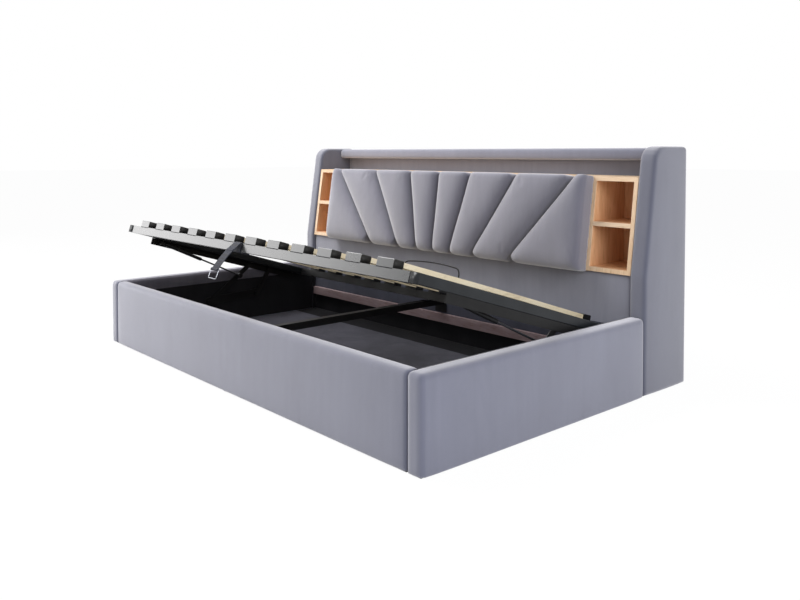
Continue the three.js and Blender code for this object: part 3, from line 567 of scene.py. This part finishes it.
for side, out in SIDES:
    low_side, high_side = ((3, 0), (0, 3))[out > 0]
    soft_copy(f"{side}_side_panel", f"{side}_side_cushion", VELVET, voxel=0.005, rounds=6,
              face=(0, out), crown=0.005, reach=0.045, flat=(0, -out),
              proud=((low_side, 3, 0), (high_side, 0, 0)))
    soft_copy(f"{side}_wing", f"{side}_wing_cushion", SHADED_WING_VELVET, voxel=0.005, rounds=6,
              face=(0, out), crown=0.005, reach=0.045, border=wing_border, flat=(0, -out),
              proud=((low_side, 0, 0), (high_side, 5, 1)))
soft_copy("front_panel", "front_cushion", VELVET, voxel=0.005, rounds=7,
          face=(1, -1), crown=0.006, reach=0.05, flat=(1, 1), proud=((0, 1, 0), NOT_PROUD))
# The lower and back panels wear the lighter, painted-light copy of the velvet.
soft_copy("lower_panel", "lower_cushion", BOUNCE_LIT_VELVET, voxel=0.007, rounds=2, swell=0.0)
soft_copy("headboard_back_panel", "back_cushion", BOUNCE_LIT_VELVET, voxel=0.008, rounds=3, face=(1, 1), crown=0.003)
soft_copy("top_rail", "top_rail_cushion", VELVET, voxel=0.005, rounds=5, swell=0.0)
soft_copy("pad_board", "pad_board_cover", PAD, voxel=0.005, rounds=1, swell=0.0)


# ---------------------------------------------------------------- channelled pad
# Lengths are in millimetres, in the pad's own plane: x across, y up along it, depth out of it
PAD_HALF = 807.7             # from the middle to the pad's end
PAD_FOOT = -7                # below the knee
PAD_UP = 362 * math.hypot(1, LEAN) + 0.5     # top of the pad, for a height of 362 above the knee
PAD_ORIGIN = np.array((0, 1114.7, KNEE_Z))
PAD_DEPTH = 88               # how far the pillows' faces stand out of the board
CHANNELS = ("inner", "second", "third", "outer")
TOPS = [share * PAD_HALF for share in (0, 0.244, 0.571, 0.936, 1)]
FOOTS = [share * PAD_HALF for share in (0, 0.129, 0.287, 0.539, 1)]
SEAM_GAP = 0.6               # a channel's plan stops this far from its seams
FOOT_RADII, TOP_RADIUS = (30, 26), 20
END_RADIUS, LAST_TOP_RADIUS = 6, 42      # at the pad's end, and at the outer channel's inner top corner
# How gently the face rises from the foot, a seam, the top and the pad's end
FOOT_REACH, SEAM_REACH, TOP_REACH, END_REACH = 15, 19, 5, 13
# Width of the strips along the foot, the top and the pad's end that stay put while a channel swells
FOOT_HOLD, TOP_HOLD, END_HOLD = 5, 8, 7
# Depths of the mesh's rings up the side walls, then its rings as shares of the plan
WALL_RINGS = (0, 8, 16, 24, 31)
FACE_RINGS = (0.995, 0.985, 0.97, 0.95, 0.925, 0.89, 0.85, 0.8, 0.73, 0.65, 0.55, 0.44, 0.32, 0.18)
CORNER_STEPS, SIDE_STEPS = 8, 26         # parts of each ring's corners and sides
WALL_SHARE, FACE_SHARE = 0.34, 0.66      # shares of the depth reached at a seam, and beyond it
COVER_SHRINK = 2.5           # the cover is made this much smaller before it swells
HELD_DEPTH = 24              # the side walls stay put up to this depth
PILLOW_VOXEL, SWELL_CAP = 0.006, 0.005   # mesh of the swelling cover and its furthest move, in metres
SWELL_FRAMES = 20
SEAM_INSET, SEAM_LIMIT, SEAM_FADE = 0.4, 0.3, 18     # how the swollen cover is brought back to its seams
PUCKER_SCALE, PUCKER_LAYER, PUCKER_DEPTH, PUCKER_FADE = 0.05, 7.0, 0.9, 14
PILLOW_WAVES, WAVE_DEPTH = ((0.010, 0.9), (0.030, 0.3)), 0.8
FRONT_START, FRONT_BAND = 40, 30         # depth at which the unevenness starts

LEAN_ANGLE = math.atan(LEAN)
PAD_AXES = np.array(((1, 0, 0), (0, math.sin(LEAN_ANGLE), math.cos(LEAN_ANGLE)),
                     (0, -math.cos(LEAN_ANGLE), math.sin(LEAN_ANGLE))))


def pad_to_row(points):
    """Points of the pad's plane as points of the row frame."""
    return (points @ PAD_AXES + PAD_ORIGIN) / MM_PER_M + np.array(SHIFT)


def row_to_pad(points):
    return ((points - np.array(SHIFT)) * MM_PER_M - PAD_ORIGIN) @ PAD_AXES.T


def unit(vector):
    return vector / np.hypot(*vector)


def plan_ring(corners, inset):
    """Points round a four-sided plan of (x, y, corner radius), moved in by an inset."""
    places = [np.array(c[:2], float) for c in corners]
    moved = []
    for i, c in enumerate(places):
        a, b = unit(c - places[i - 1]), unit(places[(i + 1) % 4] - c)
        na, nb = np.array((-a[1], a[0])), np.array((-b[1], b[0]))
        middle = unit(na + nb)
        moved.append(c + middle * inset / (middle @ na))
    arcs = []
    for i, c in enumerate(moved):
        radius = corners[i][2]
        p, q = unit(moved[i - 1] - c), unit(moved[(i + 1) % 4] - c)
        half = math.acos(p @ q) / 2
        centre = c + unit(p + q) * radius / math.sin(half)
        start = c + p * radius / math.tan(half) - centre
        arc = []
        for s in range(CORNER_STEPS + 1):
            t = (math.pi - 2 * half) * s / CORNER_STEPS
            arc.append(centre + np.array((start[0] * math.cos(t) - start[1] * math.sin(t),
                                          start[0] * math.sin(t) + start[1] * math.cos(t))))
        arcs.append(arc)
    ring = []
    for i, arc in enumerate(arcs):
        here, there = arc[-1], arcs[(i + 1) % 4][0]
        ring += arc + [here + (there - here) * s / SIDE_STEPS for s in range(1, SIDE_STEPS)]
    return np.array(ring)


def plan_sides(corners):
    """Start and inward direction of each side of a plan."""
    places = [np.array(c[:2], float) for c in corners]
    for i, c in enumerate(places):
        along = unit(places[(i + 1) % 4] - c)
        yield c, np.array((-along[1], along[0]))


def edge_gaps(points, corners):
    """Distances of plan points from the four sides of the plan."""
    return np.array([(points - start) @ inward for start, inward in plan_sides(corners)])


def crown_depth(points, corners, reach):
    """Depth of the padded face: steep beside every seam, and one soft arc between them."""
    share = np.ones(len(points))
    for gap, softness in zip(edge_gaps(points, corners), reach):
        share *= np.sqrt(1 - np.exp(-np.maximum(gap, 0) / softness))
    return PAD_DEPTH * (WALL_SHARE + FACE_SHARE * share)


def pillow(corners, reach, shrink):
    """Closed mesh of one channel: a flat back, side walls and a crowned face over its plan."""
    last = plan_ring(corners, shrink)
    count = len(last)
    centre = last.mean(0)
    rings = [last] * len(WALL_RINGS)
    depths = [np.full(count, float(depth)) for depth in WALL_RINGS]
    for share in FACE_RINGS:
        rings.append(centre + (last - centre) * share)
        depths.append(crown_depth(rings[-1], corners, reach) - shrink)
    points = [(x, y, depth) for ring, ring_depths in zip(rings, depths)
              for (x, y), depth in zip(ring, ring_depths)]
    faces = []
    for r in range(len(rings) - 1):
        for i in range(count):
            a, b = r * count + i, r * count + (i + 1) % count
            faces.append((a, b, b + count, a + count))
    points += [(*centre, crown_depth(centre[None], corners, reach)[0] - shrink), (*centre, 0)]
    tip, base = len(points) - 2, (len(rings) - 1) * count
    for i in range(count):
        faces.append((base + i, base + (i + 1) % count, tip))
        faces.append(((i + 1) % count, i, tip + 1))
    return np.array(points, float), faces


def inflate(obj, held):
    """Lets the cover swell under pressure for a few frames, its held points pinned, and applies it."""
    group = obj.vertex_groups.new(name="held")
    group.add([int(i) for i in held], 1.0, "REPLACE")
    cloth = obj.modifiers.new("cloth", "CLOTH")
    settings = cloth.settings
    settings.quality = 5
    settings.mass = 0.3
    settings.use_pressure = True
    settings.uniform_pressure_force = 4
    settings.vertex_group_mass = "held"
    settings.tension_stiffness = settings.compression_stiffness = 40
    settings.shear_stiffness = 20
    settings.bending_stiffness = 6
    settings.effector_weights.gravity = 0
    cloth.point_cache.frame_start, cloth.point_cache.frame_end = 1, SWELL_FRAMES
    before = coordinates(obj.data)
    scene = bpy.context.scene
    for step in range(1, SWELL_FRAMES + 1):
        scene.frame_set(step)
    applied(obj)
    scene.frame_set(1)
    move = coordinates(obj.data) - before
    length = np.linalg.norm(move, axis=1, keepdims=True)
    reshape(obj.data, before + move * np.minimum(1, SWELL_CAP / np.maximum(length, 1e-9)))
    obj.vertex_groups.clear()


def swollen(obj, corners, holds):
    """The channel's cover after it has swelled, smoothed and made finer."""
    remeshed(obj, PILLOW_VOXEL)
    before = row_to_pad(coordinates(obj.data))
    held = before[:, 2] < HELD_DEPTH
    for gap, hold in zip(edge_gaps(before[:, :2], corners), holds):
        held |= gap < hold
    inflate(obj, np.nonzero(held)[0])
    even = obj.modifiers.new("even", "SMOOTH")
    even.iterations = 4
    finer = obj.modifiers.new("finer", "SUBSURF")
    finer.levels = finer.render_levels = 1
    applied(obj)


def meet_seams(co, corners):
    """Spreads the pillow back to its seams and returns each point's distance from the nearest."""
    near = np.full(len(co), np.inf)
    for start, inward in plan_sides(corners):
        gap = (co[:, :2] - start) @ inward
        least = np.percentile(gap, 1)
        spread = (SEAM_INSET - least) * np.exp(-np.maximum(gap - least, 0) / SEAM_FADE)
        push = np.maximum(spread, SEAM_LIMIT - gap)
        co[:, :2] += push[:, None] * inward
        near = np.minimum(near, np.maximum(gap, 0))
    return near


def channel(name, node, corners, reach, holds):
    """One padded channel: its pillow swells against its cover, then is held inside its seams."""
    points, faces = pillow(corners, reach, shrink=COVER_SHRINK)
    obj = mesh_object(name, pad_to_row(points), faces, PAD)
    swollen(obj, corners, holds)
    co = row_to_pad(coordinates(obj.data))
    near = meet_seams(co, corners)
    pucker = np.array([noise.noise(Vector((x * PUCKER_SCALE, y * PUCKER_SCALE, PUCKER_LAYER)))
                       for x, y, _ in co])
    front = np.clip((co[:, 2] - FRONT_START) / FRONT_BAND, 0, 1)
    co[:, 2] += front * (waves(co, *PILLOW_WAVES) * WAVE_DEPTH
                         + pucker * PUCKER_DEPTH * np.exp(-near / PUCKER_FADE))
    reshape(obj.data, pad_to_row(co))
    upholstery(obj, node)


for i, kind in enumerate(CHANNELS):
    is_last = i == len(CHANNELS) - 1
    far_gap = 0.0 if is_last else SEAM_GAP
    far_foot, far_top = (END_RADIUS, END_RADIUS) if is_last else (FOOT_RADII[1], TOP_RADIUS)
    plan = [(FOOTS[i] + SEAM_GAP, PAD_FOOT, FOOT_RADII[0]), (FOOTS[i + 1] - far_gap, PAD_FOOT, far_foot),
            (TOPS[i + 1] - far_gap, PAD_UP, far_top),
            (TOPS[i] + SEAM_GAP, PAD_UP, LAST_TOP_RADIUS if is_last else TOP_RADIUS)]
    # Sides in the plan's order: foot, far side, top, near side
    reach = [FOOT_REACH, END_REACH if is_last else SEAM_REACH, TOP_REACH, SEAM_REACH]
    holds = [FOOT_HOLD, END_HOLD if is_last else 0, TOP_HOLD, 0]
    channel(f"right_{kind}_pad", f"right_{kind}_channel", plan, reach, holds)
    mirrored = [(-x, y, radius) for x, y, radius in plan]
    channel(f"left_{kind}_pad", f"left_{kind}_channel", [mirrored[j] for j in (1, 0, 3, 2)],
            [reach[j] for j in (0, 3, 2, 1)], [holds[j] for j in (0, 3, 2, 1)])


# ---------------------------------------------------------------- boards, slats and steel
# Edge rounds, in metres
BOARD_EDGE, SOFT_EDGE, RAIL_EDGE, SIDE_RAIL_EDGE, BAR_EDGE = 0.001, 0.0012, 0.0009, 0.0008, 0.0005

dress("ledge", BEECH_X, BOARD_EDGE)
for side, _ in SIDES:
    dress(f"{side}_niche_frame", NICHE_Z, SOFT_EDGE)
    dress(f"{side}_niche_shelf", NICHE_X, SOFT_EDGE)
    dress(f"{side}_niche_back", NICHE_Z)
    dress(f"{side}_rail", GREY, SIDE_RAIL_EDGE)
    dress(f"{side}_lift_bar", BLACK, BAR_EDGE)
    for kind in ("base_plate", "front_link", "rear_link", "strut_cylinder"):
        dress(f"{side}_{kind}", BLACK)
    dress(f"{side}_strut_rod", ROD)
dress("rear_ledger", RAW, BOARD_EDGE)
dress("storage_floor", FLOOR_CLOTH)
dress("centre_beam", BLACK, BOARD_EDGE)
dress("front_rail", FRONT_GREY, RAIL_EDGE)
dress("rear_rail", BLACK, RAIL_EDGE)
dress("retainer_arch", BLACK)
dress("pull_ring", CHROME)
for number in SLATS:
    dress(f"slat_{number}", SLAT, SOFT_EDGE)


# ---------------------------------------------------------------- front rail's thin details
# Reaches in the platform's own millimetres: x across, u back along it, w up
HOLDER_SEAM_X, SEAM_U, HOLDER_SEAM_W = 37, (-0.4, 0.3), (-2.4, 0.2)
RAIL_SEAM_X, RAIL_SEAM_W = (955 - 1.3, 955 + 1.3), (-32, -2.8)
PLUG_X, PLUG_U, PLUG_W = (956.4, 994.4), (-0.3, 0.3), (-32.4, -0.6)
CHEEK_X, CHEEK_U, CHEEK_W = (37.2, 38.0), (1.0, 40.5), (0.4, 26.5)
STRAP_MARGIN = 40
QUADS = ((0, 1, 3, 2), (4, 6, 7, 5), (0, 4, 5, 1), (2, 3, 7, 6), (0, 2, 6, 4), (1, 5, 7, 3))


def rail_boxes(name, reaches, material):
    """Several small boxes on the platform, given by their reaches, as one piece."""
    vertices, faces = [], []
    for across, along, up in reaches:
        base = len(vertices)
        vertices += [on_platform(x, u, w) for x in across for u in along for w in up]
        faces += [tuple(base + i for i in quad) for quad in QUADS]
    trim(mesh_object(name, vertices, faces, material), "platform")


strap_low, strap_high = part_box("pull_strap")
seams, cheeks = [], []
for number in SLATS:
    low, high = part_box(f"slat_{number}")
    middle = (low.x + high.x) / 2 * MM_PER_M
    left_of_strap = middle + STRAP_MARGIN < strap_low.x * MM_PER_M
    if left_of_strap or middle - STRAP_MARGIN > strap_high.x * MM_PER_M:
        seams.append(((middle - HOLDER_SEAM_X, middle + HOLDER_SEAM_X), SEAM_U, HOLDER_SEAM_W))
    for _, sign in SIDES:
        cheeks.append((sorted(middle + sign * x for x in CHEEK_X), CHEEK_U, CHEEK_W))
seams += [(both_ways(sign, *RAIL_SEAM_X), SEAM_U, RAIL_SEAM_W) for _, sign in SIDES]
plugs = [(both_ways(sign, *PLUG_X), PLUG_U, PLUG_W) for _, sign in SIDES]
rail_boxes("front_rail_seams", seams, BLACK_CLOTH)
rail_boxes("side_rail_plugs", plugs, GREY)
rail_boxes("front_holder_cheeks", cheeks, HOLDER)

for node, body in (("pull_strap", "platform"), ("strap_tail", "strap_tail")):
    obj = copy_of(node, node + "_web", WEB)
    mark_sharp(obj.data, STRAP_SHARP_ANGLE)
    shade_smooth(obj.data)
    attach(obj, body)
    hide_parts(node)


# ---------------------------------------------------------------- linings of the storage box, and sheets of painted shade
SIDE_UP = (20.5, 229)                    # lower and upper edge of the side linings
# Ranges from the middle, and back, of each side's linings
SIDE_LININGS = {"wall_lining": ((1004.9, 1005.3), (54, 1104)),
                "corner_lining": ((998.9, 999.5), (1105.9, 1122.6)),
                "corner_face": ((999.5, 1004.7), (1105.6, 1106.3))}
# Half width, ranges back and up, and cloth of the linings that run across
CROSS_LININGS = {"front_wall_lining": (1004, (52.6, 53.0), (20.5, 268), BLACK_CLOTH),
                 "rear_wall_lining": (998.5, (1122.7, 1123.4), (20.5, 100.6), BLACK_CLOTH),
                 # The rear upper sheet is painted shade on the lower panel below the platform.
                 "rear_upper_painted_shade": (998.5, (1122.9, 1123.5), (141.6, 236), REAR_PAINTED_SHADE),
                 # Painted shade: a black sheet over the rear of the floor, where it lies in shade.
                 "rear_floor_painted_shade": (999, (992, 1122.8), (20.3, 20.7), BLACK_CLOTH)}
RETURN_X, RETURN_FOOT, RETURN_BEND = 1004.6, 228, 268
TURN_X, TURN_Z, TURN_RADIUS, TURN_END, TURN_STEPS = 1020, 270, 15.2, math.radians(68), 8
RETURN_Y = np.linspace(22, 1088, 40)
RETURN_THICK, RETURN_SLANT = 0.6, 0.4
# The black cloths under the panels are painted shadow along their feet.
TRIM_INSET, TRIM_GAP = 0.004, 0.0001     # foot cloth inside a panel's outline and under it, in metres


def lining(name, across, back, up, cloth=BLACK_CLOTH):
    """A thin cloth-covered board over three ranges of the CAD layout."""
    low, high = (row(*corner) for corner in zip(across, back, up))
    trim(box_mesh(name, low, high, cloth), "base")


def side_lining(side, sign, kind):
    across, back = SIDE_LININGS[kind]
    lining(f"{side}_{kind}", both_ways(sign, *across), back, SIDE_UP)


def painted_foot_shadow(name, node):
    """Thin black cloth under a panel: painted shadow along its foot."""
    low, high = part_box(node)
    top = SHIFT.z - FOOT_DROP - TRIM_GAP
    obj = box_mesh(name, Vector((low.x + TRIM_INSET, low.y + TRIM_INSET, 0.0)),
                   Vector((high.x - TRIM_INSET, high.y - TRIM_INSET, top)), BLACK_CLOTH)
    trim(obj, "base")


def return_strip(name, sign):
    """Velvet that turns over the side panel's top edge into the box; its darker, duller copy of the velvet is
    painted shade.
    """
    section = [(RETURN_X, RETURN_FOOT), (RETURN_X, RETURN_BEND)]
    for i in range(TURN_STEPS + 1):
        turn = TURN_END * i / TURN_STEPS
        section.append((TURN_X - TURN_RADIUS * math.cos(turn), TURN_Z + TURN_RADIUS * math.sin(turn)))
    inner = [(x + RETURN_THICK, z - RETURN_THICK * RETURN_SLANT) for x, z in section]
    loop = section + inner[::-1]
    vertices = [row(sign * x, y, z) for y in RETURN_Y for x, z in loop]
    count = len(loop)
    last = (len(RETURN_Y) - 1) * count
    faces = []
    for start in range(0, last, count):
        for i in range(count):
            a, b = start + i, start + (i + 1) % count
            faces.append((a, b, b + count, a + count) if sign > 0 else (a, a + count, b + count, b))
    for base, flip in ((0, sign > 0), (last, sign < 0)):
        for i in range(len(section) - 1):
            quad = (base + i, base + i + 1, base + count - 2 - i, base + count - 1 - i)
            faces.append(quad[::-1] if flip else quad)
    trim(mesh_object(name, vertices, faces, RETURN_SHADED_VELVET), "base")


for side, sign in SIDES:
    side_lining(side, sign, "wall_lining")
    painted_foot_shadow(f"{side}_panel_foot_cloth", f"{side}_side_panel")
    painted_foot_shadow(f"{side}_wing_foot_cloth", f"{side}_wing")
    return_strip(f"{side}_return", sign)
    side_lining(side, sign, "corner_lining")
    side_lining(side, sign, "corner_face")
painted_foot_shadow("front_panel_foot_cloth", "front_panel")
for name, (half, back, up, cloth) in CROSS_LININGS.items():
    lining(name, (-half, half), back, up, cloth)


# ---------------------------------------------------------------- stage, light and camera
FLOOR_HALF = 40              # metres
FLOOR_GLOW, GLOW_SHARE = 1.02, 0.94
WORLD_COLOUR, WORLD_STRENGTH = (0.96, 0.96, 1.0, 1), 0.42
WARM, COOL = (1.0, 0.99, 0.99), (0.97, 0.98, 1.0)
PHOTO_W, PHOTO_H = 800, 600
FOCAL_PX = 793.576           # focal length in the photograph's pixels
AXIS_X, AXIS_Y = 398.0, 179.35     # where the camera's axis meets the photograph
SENSOR = 36
CAMERA_PLACE = (2616.75, -1450.83, 882.11)   # in the CAD layout
CAMERA_PITCH, CAMERA_HEADING = -0.033, 0.8483


def floor():
    """Pale floor that keeps the object's shadow and looks white to the camera."""
    h = FLOOR_HALF
    mesh = bpy.data.meshes.new("floor")
    mesh.from_pydata([(-h, -h, 0.0), (h, -h, 0.0), (h, h, 0.0), (-h, h, 0.0)], [], [(0, 1, 2, 3)])
    n = Surface("floor")
    mesh.materials.append(n.set(Base_Color=grey(0.92), Roughness=0.9, Specular_IOR_Level=0.0))
    glow = n.add("ShaderNodeEmission", Color=WHITE, Strength=FLOOR_GLOW)
    n.mix_to_output(n.math("MULTIPLY", n.background_rays(), GLOW_SHARE), n.bsdf, glow,
                    n.tree.nodes["Material Output"])
    link(bpy.data.objects.new("floor", mesh))


def studio():
    """Soft light from all round, with a white background for the rays that show it."""
    world = bpy.data.worlds.new("studio")
    bpy.context.scene.world = world
    world.use_nodes = True
    n = Nodes(world.node_tree)
    light = n.tree.nodes["Background"]
    light.inputs["Color"].default_value = WORLD_COLOUR
    light.inputs["Strength"].default_value = WORLD_STRENGTH
    white = n.add("ShaderNodeBackground", Color=WHITE, Strength=1.0)
    n.mix_to_output(n.background_rays(), light, white, n.tree.nodes["World Output"])


def lamp(name, place, aim, size, power, colour):
    data = bpy.data.lights.new(name, "AREA")
    data.shape = "RECTANGLE"
    data.size, data.size_y = size
    data.energy = power
    data.color = colour
    obj = link(bpy.data.objects.new(name, data))
    obj.location = place
    obj.rotation_euler = (Vector(aim) - Vector(place)).to_track_quat("-Z", "Y").to_euler()


def photo_camera():
    """The photograph's camera."""
    data = bpy.data.cameras.new("camera")
    data.sensor_width = SENSOR
    data.lens = FOCAL_PX / PHOTO_W * SENSOR
    data.shift_x = (PHOTO_W / 2 - AXIS_X) / PHOTO_W
    data.shift_y = -(PHOTO_H / 2 - AXIS_Y) / PHOTO_W
    data.clip_start, data.clip_end = 0.05, 100
    camera = link(bpy.data.objects.new("camera", data))
    camera.location = row(*CAMERA_PLACE)
    camera.rotation_euler = (math.pi / 2 + CAMERA_PITCH, 0, CAMERA_HEADING)
    return camera


floor()
studio()
lamp("key", place=(-5.2, -2.8, 1.9), aim=(0.1, 0, 0.4), size=(3.6, 3.2), power=98, colour=WARM)
lamp("fill", place=(4.6, -0.9, 2.2), aim=(0.4, 0, 0.4), size=(3.0, 2.4), power=118, colour=COOL)
lamp("top", place=(-1.4, -0.45, 2.9), aim=(0, 0.4, 0.45), size=(2.2, 1.6), power=90, colour=WARM)
bpy.context.scene.camera = photo_camera()
bpy.context.scene.view_settings.view_transform = "Standard"
